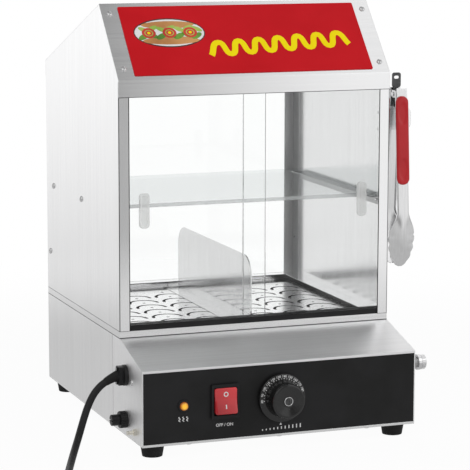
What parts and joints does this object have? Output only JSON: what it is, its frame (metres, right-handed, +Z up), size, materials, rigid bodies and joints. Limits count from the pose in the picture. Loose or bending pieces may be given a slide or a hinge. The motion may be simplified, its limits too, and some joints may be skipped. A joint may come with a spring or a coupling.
{
  "type": "hot dog steamer",
  "caption": "Countertop food steamer: heated water base with dial and switch, glazed cabinet with sliding doors, shelf, divided steaming floor, pitched roof, hanging tongs and power cord.",
  "frame": {"origin": "centre, seen from above, of the steamer's bounding box without the cord, coil and plug, on the standing surface under the feet", "axes": "+X to the right seen from the front, +Y to the rear, +Z up"},
  "size_m": [0.5412, 0.661, 0.5409],
  "materials": {
    "steel": "brushed stainless sheet",
    "steel_inner": "plain stainless sheet",
    "perforated": "bright stainless sheet with pressed slots",
    "chrome_trim": "polished",
    "zinc": "zinc-plated fasteners",
    "panel_black": "satin black",
    "sign_red": "gloss red printed sheet",
    "black_rubber": "matt",
    "black_plastic": "satin",
    "knob_black": "gloss",
    "rocker_red": "translucent red",
    "lens_amber": "translucent amber",
    "clear_glass": "clear float glass",
    "clear_plastic": "clear plastic",
    "grip_red": "moulded grip",
    "terminal_white": "moulded terminal block",
    "brass_terminal": "plain",
    "cord_black": "round flexible cord"
  },
  "bodies": {
    "steamer": {"bottom_plate": "steel_inner", "base_shell": "steel", "control_housing": "steel", "front_panel": "panel_black", "feet": "black_rubber", "bottom_screws": "zinc", "water_tank": "steel_inner", "heating_element": "steel_inner", "heater_nuts": "brass_terminal", "thermostat": "steel_inner", "thermal_cutout": "steel_inner", "switch_body": "black_plastic", "lamp_holder": "black_plastic", "lamp_lens": "lens_amber", "cord_grip": "black_plastic", "fuse_holder": "black_plastic", "earth_terminal": "brass_terminal", "component_bracket": "steel_inner", "terminal_block": "terminal_white", "drain_pipe": "steel_inner", "drain_nuts": "brass_terminal", "bottom_frame": "steel", "side_panel_left": "steel", "side_panel_right": "steel", "hood_front": "steel", "roof_panel": "steel", "sign_panel": "sign_red", "dome_screws": "chrome_trim", "rear_glass": "clear_glass", "rear_posts": "steel_inner", "shelf_rails": "steel_inner", "side_rivets": "chrome_trim", "door_tracks": "black_plastic", "centre_bar": "steel_inner", "tongs_holder": "steel", "power_cord": "cord_black", "cord_coil": "cord_black", "plug_body": "black_plastic", "plug_pins": "brass_terminal"},
    "left_door": {"left_door": "clear_glass", "left_handle": "clear_plastic"},
    "right_door": {"right_door": "clear_glass", "right_handle": "clear_plastic"},
    "knob": {"knob": "knob_black", "thermostat_shaft": "zinc", "knob_screw": "chrome_trim"},
    "rocker": {"rocker": "rocker_red"},
    "plate_left": {"plate_left": "perforated"},
    "plate_right": {"plate_right": "perforated"},
    "divider": {"divider": "steel_inner"},
    "shelf": {"glass_shelf": "clear_glass"},
    "tongs": {"tongs_pin": "chrome_trim", "tongs_spring": "zinc"},
    "front_arm": {"tongs_arm_front": "steel", "grip_front": "grip_red"},
    "rear_arm": {"tongs_arm_rear": "steel", "grip_rear": "grip_red"},
    "tongs_lock": {"tongs_lock": "steel"},
    "drain_cap": {"drain_cap": "chrome_trim"},
    "fuse_cap": {"fuse_cap": "black_plastic"}
  },
  "joints": [
    {"name": "left_door_slide", "type": "slide", "parent": "steamer", "child": "left_door", "axis": [1, 0, 0], "range_m": [0, 0.155]},
    {"name": "right_door_slide", "type": "slide", "parent": "steamer", "child": "right_door", "axis": [-1, 0, 0], "range_m": [0, 0.155]},
    {"name": "knob_turn", "type": "hinge", "parent": "steamer", "child": "knob", "pos_m": [-0.01225, -0.1941, 0.065], "axis": [0, -1, 0], "range_deg": [0, 290]},
    {"name": "rocker_tilt", "type": "hinge", "parent": "steamer", "child": "rocker", "pos_m": [-0.08575, -0.1901, 0.066], "axis": [1, 0, 0], "range_deg": [0, 12]},
    {"name": "plate_left_lift", "type": "slide", "parent": "steamer", "child": "plate_left", "axis": [0, 0, 1], "range_m": [0, 0.03]},
    {"name": "plate_right_lift", "type": "slide", "parent": "steamer", "child": "plate_right", "axis": [0, 0, 1], "range_m": [0, 0.03]},
    {"name": "divider_lift", "type": "slide", "parent": "steamer", "child": "divider", "axis": [0, 0, 1], "range_m": [0, 0.06]},
    {"name": "shelf_lift", "type": "slide", "parent": "steamer", "child": "shelf", "axis": [0, 0, 1], "range_m": [0, 0.03]},
    {"name": "tongs_lift", "type": "slide", "parent": "steamer", "child": "tongs", "axis": [0, 0, 1], "range_m": [0, 0.06]},
    {"name": "front_arm_squeeze", "type": "hinge", "parent": "tongs", "child": "front_arm", "pos_m": [0.19275, -0.08035, 0.422], "axis": [1, 0, 0], "range_deg": [-8, 2.8]},
    {"name": "rear_arm_squeeze", "type": "hinge", "parent": "tongs", "child": "rear_arm", "pos_m": [0.19275, -0.08035, 0.422], "axis": [1, 0, 0], "range_deg": [-2.8, 8]},
    {"name": "tongs_lock_slide", "type": "slide", "parent": "tongs", "child": "tongs_lock", "axis": [0, 0, 1], "range_m": [0, 0.005]},
    {"name": "drain_cap_turn", "type": "hinge", "parent": "steamer", "child": "drain_cap", "pos_m": [0.20475, -0.1361, 0.081], "axis": [1, 0, 0], "range_deg": [0, 270]},
    {"name": "fuse_cap_turn", "type": "hinge", "parent": "steamer", "child": "fuse_cap", "pos_m": [-0.20125, -0.1291, 0.037], "axis": [-1, 0, 0], "range_deg": [0, 90]}
  ],
  "couplings": [
    {"joint": "rear_arm_squeeze", "follows": "front_arm_squeeze", "ratio": -1}
  ]
}
